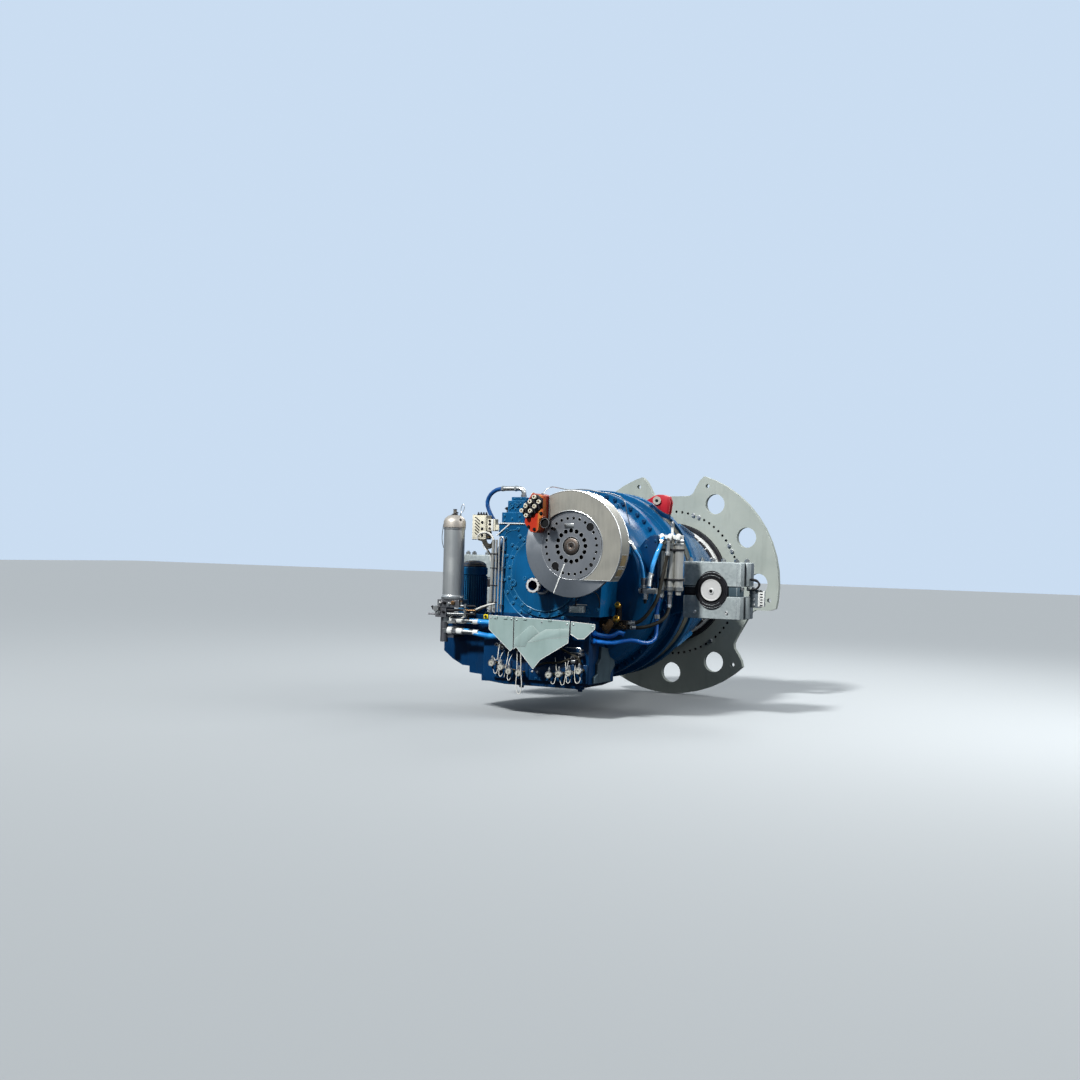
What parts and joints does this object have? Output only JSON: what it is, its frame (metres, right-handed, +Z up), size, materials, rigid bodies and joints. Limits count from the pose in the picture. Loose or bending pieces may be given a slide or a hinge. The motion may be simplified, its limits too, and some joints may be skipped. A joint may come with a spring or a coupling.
{
  "type": "wind turbine gearbox",
  "caption": "Wind turbine gearbox with torque arms in split blocks, rotor lock disc, brake disc under a sheet guard, oil pump, filter, hoses and sensors.",
  "frame": {"origin": "centre of the right-hand torque block's lower face, where it sits on the machine frame", "axes": "+Y along the main axis from the generator end towards the rotor, +Z up, +X to the right seen from the generator end"},
  "size_m": [3.25, 3.682, 2.3669],
  "materials": {
    "gear_blue": "semi-gloss enamel",
    "dark_blue": "semi-gloss enamel",
    "hose_blue": "smooth hose cover",
    "grey_green": "matt primer on steel plate",
    "zinc": "galvanised, satin",
    "steel": "turned steel",
    "stainless": "rolled stainless sheet and tube",
    "rubber": "matt black",
    "red": "enamel",
    "cream": "moulded",
    "white": "satin",
    "brass": "dull"
  },
  "bodies": {
    "housing": {"gear_case": "gear_blue", "oil_sump": "gear_blue", "round_cover": "gear_blue", "output_cover": "gear_blue", "drum_housing": "gear_blue", "bolt_flange": "gear_blue", "torque_arm_housing": "gear_blue", "main_bearing_housing": "gear_blue", "distribution_block": "gear_blue", "pump_housing": "gear_blue", "pump_motor": "gear_blue", "sump_foot": "gear_blue", "seal_cover": "dark_blue", "ring_gear": "grey_green", "shield_left": "grey_green", "shield_middle": "grey_green", "shield_right": "grey_green", "right_block_upper": "zinc", "right_block_lower": "zinc", "left_block_upper": "zinc", "left_block_lower": "zinc", "right_end_plate": "zinc", "speed_sensor": "zinc", "right_bushing": "rubber", "left_bushing": "rubber", "black_hose_upper": "rubber", "black_hose_lower": "rubber", "pitch_tube": "steel", "right_torque_pin": "steel", "left_torque_pin": "steel", "guard_bracket": "steel", "filter_cap": "steel", "filter_head": "steel", "tube_bracket": "steel", "brake_guard": "stainless", "pipe_bundle": "stainless", "filter_body": "stainless", "oil_tube_left": "stainless", "oil_tube_middle": "stainless", "oil_tube_right": "stainless", "tube_bow": "stainless", "manifold_tee": "stainless", "brake_caliper": "red", "lifting_lug": "red", "caliper_caps": "cream", "terminal_box": "cream", "top_hose": "hose_blue", "filter_hose_upper": "hose_blue", "filter_hose_lower": "hose_blue", "blue_hose_left": "hose_blue", "blue_hose_right": "hose_blue", "low_pipe_upper": "hose_blue", "low_pipe_lower": "hose_blue", "sensor_rail": "white", "valve_block": "brass"},
    "low_speed_shaft": {"lock_disc": "grey_green", "planet_carrier_hub": "white", "seal_ring": "rubber"},
    "high_speed_shaft": {"coupling_hub": "steel", "brake_disc": "steel"}
  },
  "joints": [
    {"name": "low_speed_turn", "type": "hinge", "parent": "housing", "child": "low_speed_shaft", "pos_m": [-1.276, 2.0025, 0.274], "axis": [0, 1, 0], "continuous": true},
    {"name": "high_speed_turn", "type": "hinge", "parent": "housing", "child": "high_speed_shaft", "pos_m": [-0.854, -1.3975, 0.634], "axis": [0, 1, 0], "continuous": true}
  ],
  "couplings": [
    {"joint": "high_speed_turn", "follows": "low_speed_turn", "ratio": -104.5}
  ]
}
